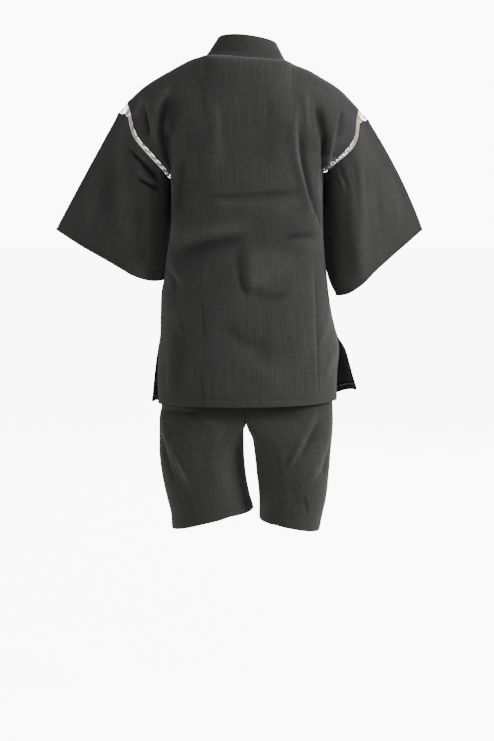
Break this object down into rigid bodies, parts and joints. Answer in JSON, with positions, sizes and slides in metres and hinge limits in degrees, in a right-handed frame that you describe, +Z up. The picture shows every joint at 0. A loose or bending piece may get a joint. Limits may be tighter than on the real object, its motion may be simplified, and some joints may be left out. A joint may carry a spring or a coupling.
{
  "type": "jinbei set",
  "caption": "Charcoal cotton jinbei set, worn form: wrap jacket with cream laced-on sleeves, side slits and a bow at the right, over knee-length shorts.",
  "frame": {"origin": "middle of the neck, level with the base of the collar at the shoulders", "axes": "+Z up the body, -Y out of the front of the garment, +X towards the wearer's left sleeve"},
  "size_m": [0.8086, 0.2705, 1.0737],
  "materials": {
    "crepe": "matte slubbed crepe, charcoal",
    "cord": "matte braided cord lace, cream"
  },
  "bodies": {
    "root": {"jacket_back": "crepe", "jacket_front_left": "crepe", "jacket_front_right": "crepe", "collar": "crepe", "sleeve_left": "crepe", "sleeve_right": "crepe", "shorts_leg_left": "crepe", "shorts_leg_right": "crepe", "shorts_waistband": "crepe", "tie_from_collar": "crepe", "tie_from_side": "crepe", "bow_knot": "crepe", "bow_loop_outer": "crepe", "bow_loop_inner": "crepe", "bow_tail_outer": "crepe", "bow_tail_inner": "crepe", "lace_left_back": "cord", "lace_left_front": "cord", "lace_right_back": "cord", "lace_right_front": "cord"}
  },
  "joints": []
}
